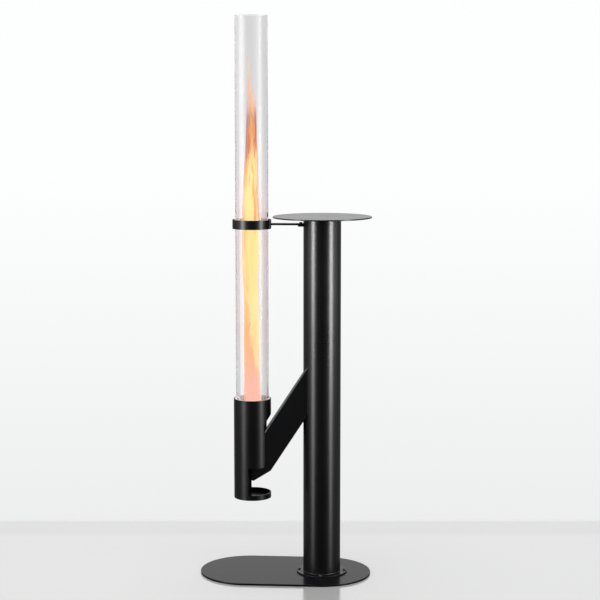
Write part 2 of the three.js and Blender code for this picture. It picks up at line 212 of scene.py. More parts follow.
class HeaterStage(PropertyGroup):
    """Camera, lamps and floor."""

    lens: FloatProperty(
        name="Lens",
        description="Focal length on a 36 mm sensor",
        default=96.7,
        unit="CAMERA",
    )
    distance: FloatProperty(
        name="Camera Distance",
        description="From the camera to what it aims at",
        default=4.905,
        unit="LENGTH",
    )
    azimuth: FloatProperty(
        name="Camera Azimuth",
        description="Turn of the camera round the heater from the front",
        default=math.radians(4.0),
        unit="ROTATION",
    )
    pitch: FloatProperty(
        name="Camera Pitch",
        description="How far the camera looks down",
        default=math.radians(7.24),
        unit="ROTATION",
    )
    aim: FloatVectorProperty(
        name="Camera Aim",
        description="Point that the camera looks at",
        default=(0.0455, 0.0, 0.8527),
        unit="LENGTH",
    )
    strip_glow: FloatProperty(
        name="Strip Glow",
        description="Radiance of a strip lamp where its share is 1",
        default=31.0,
    )
    strip_angle: FloatProperty(
        name="Strip Angle",
        description="Angle between the camera and each strip lamp, seen from the heater",
        default=math.radians(56.0),
        unit="ROTATION",
    )
    ambient: FloatProperty(
        name="Ambient",
        description="Even light from all round on matt surfaces",
        default=0.88,
    )
    floor: FloatVectorProperty(
        name="Floor",
        description="Colour of the floor",
        default=(0.885, 0.885, 0.885),
        subtype="COLOR",
    )


# Node helpers


def add_node(tree, kind, values=None, **settings):
    """Adds a node. Values go to its inputs by name or number: a constant, or the output that feeds it."""
    node = tree.nodes.new(kind)
    for key, value in settings.items():
        setattr(node, key, value)
    for key, value in (values or {}).items():
        if isinstance(value, bpy.types.NodeSocket):
            tree.links.new(value, node.inputs[key])
        else:
            node.inputs[key].default_value = value
    return node


def result(node):
    """The first enabled output of a node."""
    return next(socket for socket in node.outputs if socket.enabled)


def maths(tree, operation, first, second=0.0):
    """A Math node's result."""
    return result(add_node(tree, "ShaderNodeMath", {0: first, 1: second}, operation=operation))


def vector_maths(tree, operation, first, second=(0.0, 0.0, 0.0)):
    """A Vector Math node's result."""
    return result(add_node(tree, "ShaderNodeVectorMath", {0: first, 1: second}, operation=operation))


def split(tree, vector):
    """The X, Y and Z of a vector."""
    return add_node(tree, "ShaderNodeSeparateXYZ", {0: vector}).outputs


def mapped(tree, value, span, to=(0.0, 1.0), smooth=False):
    """A value mapped from one range to another, held at its ends."""
    values = {"Value": value, "From Min": span[0], "From Max": span[1], "To Min": to[0], "To Max": to[1]}
    kind = "SMOOTHSTEP" if smooth else "LINEAR"
    return add_node(tree, "ShaderNodeMapRange", values, interpolation_type=kind).outputs["Result"]


def mixed(tree, share, first, second):
    """A colour mixed between two others."""
    node = add_node(tree, "ShaderNodeMix", data_type="RGBA")
    for socket, value in ((node.inputs[0], share), (node.inputs[6], first), (node.inputs[7], second)):
        if isinstance(value, bpy.types.NodeSocket):
            tree.links.new(value, socket)
        else:
            socket.default_value = (*value, 1.0)
    return node.outputs[2]


def ramp_by(tree, value, stops):
    """A colour by a value, from a table of values and colours."""
    low, high = stops[0][0], stops[-1][0]
    node = add_node(tree, "ShaderNodeValToRGB", {"Fac": mapped(tree, value, (low, high))})
    ramp = node.color_ramp
    ramp.elements[0].color = (*stops[0][1], 1.0)
    ramp.elements[1].color = (*stops[-1][1], 1.0)
    for at, colour in stops[1:-1]:
        ramp.elements.new((at - low) / (high - low)).color = (*colour, 1.0)
    return node.outputs["Color"]


def object_place(tree, scale=(1.0, 1.0, 1.0), centre=(0.0, 0.0, 0.0)):
    """Object coordinates about a centre, scaled along each axis."""
    place = add_node(tree, "ShaderNodeTexCoord").outputs["Object"]
    moved = tuple(-at * by for at, by in zip(centre, scale))
    values = {"Vector": place, "Location": moved, "Scale": scale}
    return add_node(tree, "ShaderNodeMapping", values).outputs[0]


def grain(tree, place, scale, detail=2.0, roughness=0.5, distortion=0.0):
    """A noise's value."""
    values = {"Scale": scale, "Detail": detail, "Roughness": roughness, "Distortion": distortion}
    return add_node(tree, "ShaderNodeTexNoise", {"Vector": place, **values}).outputs[0]


def relief(tree, height, strength, distance, under=None):
    """A Bump node's normal."""
    values = {"Height": height, "Strength": strength, "Distance": distance}
    if under is not None:
        values["Normal"] = under
    return add_node(tree, "ShaderNodeBump", values).outputs[0]


def worn_edge(tree):
    """How much a face belongs to a rounded edge, from the mesh's edge attribute."""
    return add_node(tree, "ShaderNodeAttribute", attribute_name="edge").outputs["Fac"]


def principled(tree, **values):
    """A Principled shader, its inputs named with underscores for spaces."""
    named = {key.replace("_", " "): value for key, value in values.items()}
    return add_node(tree, "ShaderNodeBsdfPrincipled", named).outputs[0]


def either(tree, share, first, second):
    """A shader mixed between two others."""
    return add_node(tree, "ShaderNodeMixShader", {0: share, 1: first, 2: second}).outputs[0]


def new_material(name):
    """An empty node material and its tree."""
    material = bpy.data.materials.new(name)
    material.use_nodes = True
    material.node_tree.nodes.clear()
    return material, material.node_tree


def surface(tree, shader):
    """Connects a shader to the material's surface."""
    tree.links.new(shader, add_node(tree, "ShaderNodeOutputMaterial").inputs["Surface"])


# Materials, each made under the name that it is given


def coat_material(name, roughness, refraction):
    """Satin black heat-proof coat: fine orange peel, cloudy gloss, rubbed edges and a little dust on top."""
    finish = bpy.context.scene.heater_finish
    material, tree = new_material(name)
    place = object_place(tree)
    cloud = grain(tree, place, 6.0, detail=4.0, roughness=0.6)
    speck = grain(tree, place, 420.0)
    peel = grain(tree, place, 900.0, detail=1.0)
    wear = grain(tree, place, 55.0, detail=3.0)
    upright = split(tree, add_node(tree, "ShaderNodeNewGeometry").outputs["Normal"])["Z"]
    level = mapped(tree, upright, (0.9, 1.0))
    dust = maths(tree, "MULTIPLY", level, mapped(tree, cloud, (0.35, 0.7), (0.1, 0.5)))
    colour = mixed(tree, mapped(tree, speck, (0.45, 0.75), (0.0, 0.10)), finish.coat, finish.coat_dust)
    colour = mixed(tree, dust, colour, finish.coat_dust)
    rubbed = maths(tree, "MULTIPLY", worn_edge(tree), mapped(tree, wear, (0.42, 0.62), (0.15, 0.9)))
    colour = mixed(tree, rubbed, colour, finish.coat_edge)
    spread = 0.02
    level_gloss = 0.09
    rough = mapped(tree, cloud, (0.3, 0.7), (roughness - spread, roughness + spread))
    rough = maths(tree, "ADD", rough, mapped(tree, speck, (0.3, 0.8), (-0.01, 0.02)))
    rough = maths(tree, "SUBTRACT", rough, maths(tree, "MULTIPLY", level, level_gloss))
    mirrored = add_node(tree, "ShaderNodeLightPath").outputs["Is Glossy Ray"]
    rough = maths(tree, "MAXIMUM", rough, mirrored)
    normal = relief(tree, peel, 0.04, 0.2 * MM)
    surface(tree, principled(tree, Base_Color=colour, Roughness=rough, Normal=normal, IOR=refraction))
    return material


# How strongly the coat shines, as its index of refraction: full on the tubes, dulled elsewhere
FULL_GLOSS = 1.46
DULL_GLOSS = 1.34


def black_coat(name):
    """The coat on the tubes, the chute and the bar."""
    return coat_material(name, bpy.context.scene.heater_finish.coat_roughness, FULL_GLOSS)


def plate_coat(name):
    """The coat on the base plate and the table, thinner and less glossy."""
    return coat_material(name, bpy.context.scene.heater_finish.coat_roughness, DULL_GLOSS)


def heated_coat(name):
    """The coat next to the fire and the hot glass, dulled by them."""
    return coat_material(name, bpy.context.scene.heater_finish.heated_roughness, DULL_GLOSS)


def hardware_material(name):
    """Blackened screws: dark oxide that shows steel on its edges."""
    oxide, brown, steel = (0.014, 0.014, 0.016), (0.035, 0.032, 0.031), (0.22, 0.21, 0.20)
    material, tree = new_material(name)
    place = object_place(tree)
    patch = grain(tree, place, 160.0, detail=4.0, roughness=0.65)
    rubbed = maths(tree, "MULTIPLY", worn_edge(tree), mapped(tree, patch, (0.4, 0.6), (0.1, 0.7)))
    colour = mixed(tree, mapped(tree, patch, (0.35, 0.7)), oxide, brown)
    colour = mixed(tree, rubbed, colour, steel)
    rough = mapped(tree, patch, (0.3, 0.7), (0.28, 0.46))
    normal = relief(tree, grain(tree, place, 1500.0), 0.12, 0.1 * MM)
    surface(tree, principled(tree, Base_Color=colour, Roughness=rough, Normal=normal, Metallic=0.6))
    return material


# Heat tints of bare steel, by how hot a spot got: grey, straw, purple and blue
HEAT_TINTS = (
    (0.30, (0.130, 0.125, 0.120)),
    (0.44, (0.240, 0.165, 0.085)),
    (0.55, (0.130, 0.065, 0.085)),
    (0.72, (0.060, 0.075, 0.110)),
)


def blued_material(name):
    """Bare steel in the fire: heat tints under soot."""
    soot_black = (0.012, 0.011, 0.010)
    material, tree = new_material(name)
    place = object_place(tree)
    drift = grain(tree, place, 22.0, detail=5.0, roughness=0.6, distortion=0.4)
    soot = mapped(tree, grain(tree, place, 48.0, detail=6.0, roughness=0.7), (0.45, 0.68), smooth=True)
    colour = mixed(tree, soot, ramp_by(tree, drift, HEAT_TINTS), soot_black)
    rough = mapped(tree, soot, (0.0, 1.0), (0.38, 0.85))
    metal = mapped(tree, soot, (0.0, 1.0), (1.0, 0.1))
    normal = relief(tree, grain(tree, place, 650.0, detail=3.0, roughness=0.7), 0.35, 0.2 * MM)
    surface(tree, principled(tree, Base_Color=colour, Roughness=rough, Metallic=metal, Normal=normal))
    return material


def spring_material(name):
    """Satin spring steel, brushed along its length, with a few dark blots."""
    dark, bright, blotted = (0.30, 0.31, 0.33), (0.46, 0.46, 0.47), (0.16, 0.15, 0.145)
    material, tree = new_material(name)
    lines = grain(tree, object_place(tree, scale=(60.0, 60.0, 2600.0)), 1.0, detail=3.0, roughness=0.7)
    blot = grain(tree, object_place(tree), 90.0, detail=3.0)
    colour = mixed(tree, mapped(tree, lines, (0.3, 0.7)), dark, bright)
    colour = mixed(tree, mapped(tree, blot, (0.5, 0.8), (0.0, 0.4)), colour, blotted)
    rough = mapped(tree, lines, (0.3, 0.7), (0.26, 0.42))
    normal = relief(tree, lines, 0.2, 0.05 * MM)
    surface(tree, principled(tree, Base_Color=colour, Roughness=rough, Metallic=1.0, Normal=normal))
    return material


def fibre_material(name):
    """Matt braided fibre tape, its yarns crossing at a slant round the glass."""
    shadow, yarn, stained = (0.74, 0.73, 0.71), (0.92, 0.915, 0.90), (0.64, 0.59, 0.53)
    yarns_round = 150.0
    yarn_climb = 4.2 * MM
    stain_share = 0.10
    material, tree = new_material(name)
    place = split(tree, object_place(tree, centre=(*GLASS_AXIS, 0.0)))
    turn = maths(tree, "ARCTAN2", place["Y"], place["X"])
    rise = maths(tree, "MULTIPLY", place["Z"], TURN / yarn_climb)
    along = maths(tree, "MULTIPLY", turn, yarns_round)
    weft = maths(tree, "SINE", maths(tree, "ADD", along, rise))
    warp = maths(tree, "SINE", maths(tree, "SUBTRACT", along, rise))
    weave = maths(tree, "MAXIMUM", weft, warp)
    fuzz = grain(tree, object_place(tree), 1400.0, detail=4.0, roughness=0.7)
    on_top = mapped(tree, weave, (-0.6, 1.0), (0.0, 0.6))
    shade = maths(tree, "ADD", on_top, mapped(tree, fuzz, (0.3, 0.8), (0.0, 0.4)))
    stain = mapped(tree, grain(tree, object_place(tree), 30.0, detail=3.0), (0.4, 0.7))
    colour = mixed(tree, shade, shadow, yarn)
    colour = mixed(tree, maths(tree, "MULTIPLY", stain, stain_share), colour, stained)
    normal = relief(tree, fuzz, 0.3, 0.15 * MM, under=relief(tree, weave, 0.7, 0.35 * MM))
    tape = principled(
        tree,
        Base_Color=colour,
        Roughness=0.94,
        Sheen_Weight=0.25,
        Sheen_Roughness=0.5,
        Normal=normal,
    )
    surface(tree, tape)
    return material


# Heights between which the glass's tint turns pink, a painted glow of the flame, and those between which that
# painted glow fades and the glass turns clear again
GLASS_PAINTED_GLOW_RISES = (0.58, 0.80)
GLASS_PAINTED_GLOW_FADES = (1.05, 1.35)
# Shares of the glass's tint in red, green and blue: for the painted glow of the flame, and for the soot
PAINTED_GLOW_SHARES = (1.01, 0.925, 0.93)
SOOTY_SHARES = (0.985, 0.975, 0.97)


def glass_material(name):
    """Heat-proof glass with a faint haze from the fire, its tint painted pink low down where the flame burns,
    as a painted glow of the flame. Lamps shine through it.
    """
    finish = bpy.context.scene.heater_finish
    lamp_tint = (0.93, 0.93, 0.93, 1.0)
    material, tree = new_material(name)
    haze = grain(tree, object_place(tree, scale=(1.0, 1.0, 0.35)), 7.0, detail=3.0)
    height = split(tree, object_place(tree))["Z"]
    # Painted glow: the tint turns pink round the lower flame, standing in for the flame's light on the glass
    painted_glow = mapped(tree, height, GLASS_PAINTED_GLOW_RISES, smooth=True)
    painted_glow = maths(tree, "MULTIPLY", painted_glow, mapped(tree, height, GLASS_PAINTED_GLOW_FADES, (1.0, 0.0), smooth=True))
    pink, sooty = (
        tuple(channel * share for channel, share in zip(finish.glass, shares))
        for shares in (PAINTED_GLOW_SHARES, SOOTY_SHARES)
    )
    colour = mixed(tree, painted_glow, finish.glass, pink)
    colour = mixed(tree, mapped(tree, haze, (0.42, 0.72)), colour, sooty)
    glass = principled(
        tree,
        Base_Color=colour,
        Roughness=mapped(tree, haze, (0.4, 0.75), (0.0, 0.02)),
        IOR=1.47,
        Transmission_Weight=1.0,
        Specular_Tint=(0.0, 0.0, 0.0, 1.0),
        Coat_Weight=0.25,
        Coat_Roughness=0.26,
    )
    clear = add_node(tree, "ShaderNodeBsdfTransparent", {"Color": lamp_tint}).outputs[0]
    shadow = add_node(tree, "ShaderNodeLightPath").outputs["Is Shadow Ray"]
    surface(tree, either(tree, shadow, glass, clear))
    return material


# The flame's hot and cool colours by height
HOT_FLAME = (
    (0.416, (1.00, 0.75, 0.38)),
    (0.600, (1.00, 0.79, 0.40)),
    (0.750, (1.00, 0.87, 0.43)),
    (1.000, (1.00, 0.88, 0.34)),
    (1.200, (1.00, 0.86, 0.36)),
    (1.255, (1.00, 0.83, 0.35)),
    (1.295, (1.00, 0.67, 0.29)),
    (1.331, (0.98, 0.44, 0.19)),
    (1.367, (0.93, 0.38, 0.15)),
    (1.403, (1.00, 0.48, 0.19)),
    (1.440, (1.00, 0.57, 0.27)),
    (1.520, (0.98, 0.60, 0.36)),
)
COOL_FLAME = (
    (0.416, (0.93, 0.48, 0.41)),
    (0.600, (0.96, 0.50, 0.38)),
    (0.680, (0.97, 0.49, 0.27)),
    (0.760, (0.98, 0.50, 0.22)),
    (0.850, (0.93, 0.62, 0.25)),
    (0.970, (0.93, 0.70, 0.27)),
    (1.100, (0.86, 0.37, 0.17)),
    (1.220, (0.97, 0.48, 0.23)),
    (1.262, (0.95, 0.42, 0.20)),
    (1.295, (0.60, 0.22, 0.13)),
    (1.367, (0.50, 0.18, 0.12)),
    (1.403, (0.45, 0.20, 0.15)),
    (1.440, (0.88, 0.46, 0.30)),
    (1.550, (0.92, 0.60, 0.40)),
)

# Heights between which an edge of the hot part moves, and from where to where, in shares of the flame's reach
FLAME_REACH = 22 * MM
FOOT_ENDS = ((0.57, 0.66), (1.4, 0.0))
HOT_SPREADS = ((0.60, 1.05), (0.75, -1.2))
RIGHT_COOLS = ((1.02, 1.10), (1.8, 0.62))
LEFT_DARKENS = ((1.14, 1.22), (-1.6, -0.55))
LEFT_DARKENS_MORE = ((1.28, 1.36), (0.0, 0.40))
CORE_STAYS_HOT = 0.2

# Heights between which the tip thins out, and its cover there
TIP_THINS = ((1.40, 1.60), (1.0, 0.35))


def flame_material(name, heat, cover):
    """A flame tongue: hot and cool colours by height and side, parted by streaks. Heat is 1 in the core."""
    material, tree = new_material(name)
    at = split(tree, object_place(tree, centre=(*GLASS_AXIS, 0.0)))
    height = at["Z"]
    side = maths(tree, "DIVIDE", at["X"], FLAME_REACH)
    streak = grain(tree, object_place(tree, scale=(1.0, 1.0, 0.12)), 95.0, detail=3.0, distortion=0.6)
    drawn_out = object_place(tree, scale=(1.0, 1.0, 0.16))
    wisp = grain(tree, drawn_out, 34.0, detail=4.0, roughness=0.6, distortion=0.9)
    side = maths(tree, "ADD", side, mapped(tree, streak, (0.3, 0.7), (-0.8, 0.8)))

    low_edge = maths(tree, "ADD", mapped(tree, height, *FOOT_ENDS), mapped(tree, height, *HOT_SPREADS))
    cooling, (whole, cooled) = RIGHT_COOLS
    right_edge = mapped(tree, height, cooling, (whole, cooled + CORE_STAYS_HOT * heat))
    left_edge = mapped(tree, height, *LEFT_DARKENS)
    left_edge = maths(tree, "ADD", left_edge, mapped(tree, height, *LEFT_DARKENS_MORE))
    hot = mapped(tree, wisp, (0.40, 0.56), (0.68, 1.0))
    for outer, inner, blur in ((side, low_edge, 0.25), (right_edge, side, 0.15), (side, left_edge, 0.25)):
        inside = mapped(tree, maths(tree, "SUBTRACT", outer, inner), (-blur, blur), smooth=True)
        hot = maths(tree, "MULTIPLY", hot, inside)
    colour = mixed(tree, hot, ramp_by(tree, height, COOL_FLAME), ramp_by(tree, height, HOT_FLAME))

    veil = mapped(tree, wisp, (0.30, 0.62), (0.6 * cover, cover))
    glow = principled(
        tree,
        Base_Color=(0.0, 0.0, 0.0, 1.0),
        Roughness=1.0,
        Specular_IOR_Level=0.0,
        Emission_Color=colour,
        Emission_Strength=bpy.context.scene.heater_finish.flame_glow,
        Alpha=maths(tree, "MULTIPLY", veil, mapped(tree, height, *TIP_THINS)),
    )
    surface(tree, glow)
    return material


# The makers of the finishes, by material slot or kind of coat, and how a piece is named after its finish
MAKERS = {
    "black_coat": black_coat,
    "plate_coat": plate_coat,
    "heated_coat": heated_coat,
    "dark_hardware": hardware_material,
    "heat_blued_steel": blued_material,
    "spring_steel": spring_material,
    "fibre_gasket": fibre_material,
    "clear_glass": glass_material,
}
ENDINGS = {
    "black_coat": "coated",
    "dark_hardware": "blackened",
    "heat_blued_steel": "blued",
    "spring_steel": "sprung",
    "fibre_gasket": "braided",
}


def finish_of(kind):
    """The material of a kind of finish, made the first time that it is asked for."""
    name = f"{kind}_finish"
    return bpy.data.materials.get(name) or MAKERS[kind](name)


# Mesh helpers


def merged(node):
    """A copy of a CAD node's mesh, its triangles joined and its flat faces whole again."""
    mesh = bmesh.new()
    mesh.from_mesh(frame["nodes"][node].data)
    bmesh.ops.remove_doubles(mesh, verts=mesh.verts, dist=SAME_POINT)
    bmesh.ops.dissolve_limit(mesh, angle_limit=FLAT_ANGLE, verts=mesh.verts, edges=mesh.edges)
    bmesh.ops.recalc_face_normals(mesh, faces=mesh.faces)
    return mesh


def bridge(mesh, here, there):
    """Joins two closed rows of corners with four-sided faces."""
    for index in range(len(here)):
        after = (index + 1) % len(here)
        mesh.faces.new((here[index], here[after], there[after], there[index]))


def closed_up(mesh):
    """A mesh with its doubles joined and its faces turned outwards."""
    bmesh.ops.remove_doubles(mesh, verts=mesh.verts, dist=SAME_POINT)
    bmesh.ops.recalc_face_normals(mesh, faces=mesh.faces)
    return mesh


def turned(node, bore=0.0):
    """A round CAD node turned anew with finer sides: a tube, or a disc where it has no bore."""
    low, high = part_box(node)
    axis = middle_of(node).xy
    outer = width_of(node) / 2
    profile = ((bore, low.z), (outer, low.z), (outer, high.z), (bore, high.z))
    mesh = bmesh.new()
    rows = []
    for step in range(TURNED_SIDES):
        angle = TURN * step / TURNED_SIDES
        along = Vector((math.cos(angle), math.sin(angle)))
        rows.append([mesh.verts.new((*(axis + along * radius), height)) for radius, height in profile])
    for here, there in zip(rows, rows[1:] + rows[:1]):
        bridge(mesh, here, there)
    return closed_up(mesh)


def softened(mesh, width, steps=3, chosen=None):
    """Rounds the sharp edges of a mesh and marks the new faces in its edge attribute."""
    marks = mesh.faces.layers.float.get("edge") or mesh.faces.layers.float.new("edge")
    sharp = [
        edge
        for edge in mesh.edges
        if len(edge.link_faces) == 2
        and edge.calc_face_angle() > SHARP_ANGLE
        and (chosen is None or chosen(edge))
    ]
    corners = list({corner for edge in sharp for corner in edge.verts})
    made = bmesh.ops.bevel(
        mesh,
        geom=sharp + corners,
        offset=width,
        offset_type="OFFSET",
        segments=steps,
        profile=0.5,
        affect="EDGES",
        clamp_overlap=True,
        miter_outer="ARC",
    )
    for face in made["faces"]:
        face[marks] = 1.0
    return mesh


def settle(obj):
    """Turns an object with modifiers into a plain mesh."""
    graph = bpy.context.evaluated_depsgraph_get()
    final = obj.evaluated_get(graph)
    plain = bpy.data.meshes.new_from_object(final, preserve_all_data_layers=True, depsgraph=graph)
    before = obj.data
    obj.modifiers.clear()
    obj.data = plain
    bpy.data.meshes.remove(before)


def in_scene(name, data):
    """A new object in the scene."""
    obj = bpy.data.objects.new(name, data)
    bpy.context.scene.collection.objects.link(obj)
    return obj


def shown(name, mesh, material):
    """An object for a mesh, shaded smooth but for its creases, with one material."""
    data = bpy.data.meshes.new(name)
    mesh.to_mesh(data)
    mesh.free()
    data.shade_smooth()
    data.set_sharp_from_angle(angle=CREASE_ANGLE)
    obj = in_scene(name, data)
    data.materials.append(material)
    weighted = obj.modifiers.new("even shading", "WEIGHTED_NORMAL")
    weighted.mode = "FACE_AREA"
    weighted.keep_sharp = True
    settle(obj)
    return obj


UNLIT = "not lit by the strips"
LEFT_UNLIT = "not lit by the left strip"


def kept_from(obj, name):
    """Adds an object to a collection of what some of the lamps don't light."""
    unlit = bpy.data.collections.get(name) or bpy.data.collections.new(name)
    unlit.objects.link(obj)
    for item in unlit.collection_objects:
        item.light_linking.link_state = "EXCLUDE"


def placed(obj, *nodes, body=None):
    """Lets a piece ride on its body, and stand for its CAD nodes, which it hides."""
    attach(obj, body or BODY_OF[nodes[0]])
    if nodes:
        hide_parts(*nodes)


def finished(node, width, coat=None, chosen=None):
    """A CAD node as a finished piece: whole faces, rounded edges, and its slot's finish or another coat."""
    slot = SLOT_OF[node]
    mesh = softened(merged(node), width, chosen=chosen)
    placed(shown(f"{node}_{ENDINGS[slot]}", mesh, finish_of(coat or slot)), node)


# Geometry Nodes


def new_tree(name, **inputs):
    """A Geometry Nodes tree, what enters it and its end. Inputs are named with underscores for spaces."""
    tree = bpy.data.node_groups.new(name, "GeometryNodeTree")
    tree.interface.new_socket("Geometry", in_out="INPUT", socket_type="NodeSocketGeometry")
    for label, kind in inputs.items():
        tree.interface.new_socket(label.replace("_", " "), in_out="INPUT", socket_type=f"NodeSocket{kind}")
    tree.interface.new_socket("Geometry", in_out="OUTPUT", socket_type="NodeSocketGeometry")
    return tree, tree.nodes.new("NodeGroupInput").outputs, tree.nodes.new("NodeGroupOutput").inputs


def grown(obj, tree, values):
    """Runs a Geometry Nodes tree on an object with its inputs set, and keeps the result as a plain mesh."""
    modifier = obj.modifiers.new(tree.name, "NODES")
    modifier.node_group = tree
    for item in tree.interface.items_tree:
        if item.in_out == "INPUT" and item.name in values:
            modifier[item.identifier] = values[item.name]
    settle(obj)
    return obj


def painted(tree, geometry, material, out):
    """Ends a tree with Realize Instances and Set Material."""
    real = add_node(tree, "GeometryNodeRealizeInstances", {0: geometry})
    smooth = add_node(tree, "GeometryNodeSetShadeSmooth", {0: real.outputs[0]})
    coat = add_node(tree, "GeometryNodeSetMaterial", {0: smooth.outputs[0], "Material": material})
    tree.links.new(coat.outputs[0], out[0])


def screw_circle_tree():
    """Repeats one screw round a bolt circle, each turned as it came to rest."""
    tree, entry, out = new_tree(
        "Screw Circle",
        Count="Int",
        Circle_Radius="Float",
        Centre="Vector",
        First_Angle="Float",
        Seed="Int",
        Material="Material",
    )
    values = {"Vertices": entry["Count"], "Radius": entry["Circle Radius"]}
    circle = add_node(tree, "GeometryNodeMeshCircle", values)
    turn = add_node(tree, "ShaderNodeCombineXYZ", {"Z": entry["First Angle"]})
    values = {"Geometry": circle.outputs[0], "Translation": entry["Centre"], "Rotation": turn.outputs[0]}
    there = add_node(tree, "GeometryNodeTransform", values)
    values = {"Min": (0.0, 0.0, 0.0), "Max": (0.0, 0.0, 1.0), "Seed": entry["Seed"]}
    rest = add_node(tree, "FunctionNodeRandomValue", values, data_type="FLOAT_VECTOR")
    values = {"Points": there.outputs[0], "Instance": entry["Geometry"], "Rotation": rest.outputs[0]}
    screws = add_node(tree, "GeometryNodeInstanceOnPoints", values)
    painted(tree, screws.outputs[0], entry["Material"], out)
    return tree


def weld_bead_tree():
    """Lays a rippled weld bead along a path."""
    steps_a_ripple = 4.0
    bead_sides = 10
    tree, entry, out = new_tree(
        "Weld Bead",
        Bead_Width="Float",
        Ripple_Pitch="Float",
        Ripple_Share="Float",
        Material="Material",
    )
    path = add_node(tree, "GeometryNodeMeshToCurve", {0: entry["Geometry"]})
    step = maths(tree, "DIVIDE", entry["Ripple Pitch"], steps_a_ripple)
    values = {"Curve": path.outputs[0], "Length": step}
    even = add_node(tree, "GeometryNodeResampleCurve", values, mode="LENGTH")
    run = add_node(tree, "GeometryNodeSplineParameter").outputs["Length"]
    phase = maths(tree, "MULTIPLY", maths(tree, "DIVIDE", run, entry["Ripple Pitch"]), TURN)
    wave = maths(tree, "MULTIPLY", maths(tree, "SINE", phase), entry["Ripple Share"])
    half = maths(tree, "DIVIDE", entry["Bead Width"], 2.0)
    values = {"Resolution": bead_sides, "Radius": half}
    wire = add_node(tree, "GeometryNodeCurvePrimitiveCircle", values)
    values = {"Curve": even.outputs[0], "Profile Curve": wire.outputs[0], "Fill Caps": True}
    values["Scale"] = maths(tree, "ADD", wave, 1.0)
    bead = add_node(tree, "GeometryNodeCurveToMesh", values)
    painted(tree, bead.outputs[0], entry["Material"], out)
    return tree


# Operators, one for each piece or group of like pieces


class HEATER_OT_base(Operator):
    """Makes the base plate and the flange that the post stands on"""

    bl_idname = "heater.base"
    bl_label = "Base and Flange"

    def execute(self, context):
        edge = context.scene.heater_sizes.edge
        finished("base_plate", edge, coat="plate_coat")
        finished("post_flange", edge)
        return {"FINISHED"}


def button_screw(node):
    """One button-head screw with a hexagon socket, its axis at the origin."""
    mesh = softened(merged(node), bpy.context.scene.heater_sizes.fine_edge)
    centre = middle_of(node)
    bmesh.ops.translate(mesh, verts=mesh.verts, vec=(-centre.x, -centre.y, 0.0))
    return mesh


class HEATER_OT_flange_screws(Operator):
    """Makes the four screws of the flange from one screw and its bolt circle"""

    bl_idname = "heater.flange_screws"
    bl_label = "Flange Screws"

    def execute(self, context):
        names = sorted(node for node in frame["nodes"] if node.startswith("flange_bolt_"))
        centre = middle_of("post_flange")
        first = middle_of(names[0]).xy - centre.xy
        hardware = finish_of(SLOT_OF[names[0]])
        obj = shown("flange_screws", button_screw(names[0]), hardware)
        values = {
            "Count": len(names),
            "Circle Radius": first.length,
            "Centre": (centre.x, centre.y, 0.0),
            "First Angle": math.atan2(first.y, first.x),
            "Seed": context.scene.heater_sizes.screw_seed,
            "Material": hardware,
        }
        placed(grown(obj, screw_circle_tree(), values), *names)
        return {"FINISHED"}


class HEATER_OT_post(Operator):
    """Makes the hopper post and the sloped floor in it"""

    bl_idname = "heater.post"
    bl_label = "Hopper Post"

    def execute(self, context):
        finished("post_tube", context.scene.heater_sizes.edge)
        finished("hopper_floor", context.scene.heater_sizes.fine_edge)
        return {"FINISHED"}


class HEATER_OT_table(Operator):
    """Makes the round table and the collar under it"""

    bl_idname = "heater.table"
    bl_label = "Table Lid"

    def execute(self, context):
        edge = context.scene.heater_sizes.edge
        disc = softened(turned("table_top"), edge)
        placed(shown("table_top_coated", disc, finish_of("plate_coat")), "table_top")
        finished("table_collar", edge)
        return {"FINISHED"}


class HEATER_OT_chute(Operator):
    """Makes the sloped feed chute between the post and the burner"""

    bl_idname = "heater.chute"
    bl_label = "Feed Chute"

    def execute(self, context):
        weld_room = 4 * MM

        def clear_of_post(edge):
            """Whether an edge is clear of the weld bead on the post."""
            return all((corner.co.xy - POST_AXIS).length > POST_RADIUS + weld_room for corner in edge.verts)

        finished("feed_chute", context.scene.heater_sizes.edge, chosen=clear_of_post)
        return {"FINISHED"}


class HEATER_OT_burner(Operator):
    """Makes the burner sleeve, its ash dish floor, the seat and the gasket of the glass"""

    bl_idname = "heater.burner"
    bl_label = "Burner"

    def execute(self, context):
        sizes = context.scene.heater_sizes
        finished("burner_sleeve", sizes.edge, coat="heated_coat")
        finished("dish_floor", sizes.edge, coat="heated_coat")
        finished("glass_seat", sizes.fine_edge)
        finished("seat_gasket", sizes.edge)
        return {"FINISHED"}


class HEATER_OT_grate(Operator):
    """Makes the slotted fire grate"""

    bl_idname = "heater.grate"
    bl_label = "Fire Grate"

    def execute(self, context):
        finished("fire_grate", context.scene.heater_sizes.fine_edge)
        return {"FINISHED"}


class HEATER_OT_glass(Operator):
    """Makes the tall glass tube with fire-polished rims"""

    bl_idname = "heater.glass"
    bl_label = "Glass Tube"

    def execute(self, context):
        tube = turned("glass_tube", bore_of("glass_tube"))
        rimmed = softened(tube, context.scene.heater_sizes.glass_edge, steps=6)
        obj = shown("glass_tube_clear", rimmed, finish_of("clear_glass"))
        obj.visible_glossy = False
        kept_from(obj, LEFT_UNLIT)
        placed(obj, "glass_tube")
        return {"FINISHED"}


class HEATER_OT_support_bar(Operator):
    """Makes the flat bar that holds the ring, its bracket and its screw"""

    bl_idname = "heater.support_bar"
    bl_label = "Support Bar"

    def execute(self, context):
        sizes = context.scene.heater_sizes
        finished("bar_bracket", sizes.edge)
        finished("support_bar", sizes.edge)
        finished("bar_screw", sizes.fine_edge)
        return {"FINISHED"}


class HEATER_OT_ring(Operator):
    """Makes both halves of the ring round the glass, the hinge pin, the catch and the linings"""

    bl_idname = "heater.ring"
    bl_label = "Hinged Ring"

    def execute(self, context):
        sizes = context.scene.heater_sizes
        finished("ring_rear", sizes.fine_edge, coat="heated_coat")
        finished("ring_gate", sizes.fine_edge, coat="heated_coat")
        finished("ring_pin", sizes.fine_edge)
        finished("ring_catch", sizes.fine_edge)
        finished("ring_lining_rear", sizes.edge)
        finished("ring_lining_front", sizes.edge)
        return {"FINISHED"}


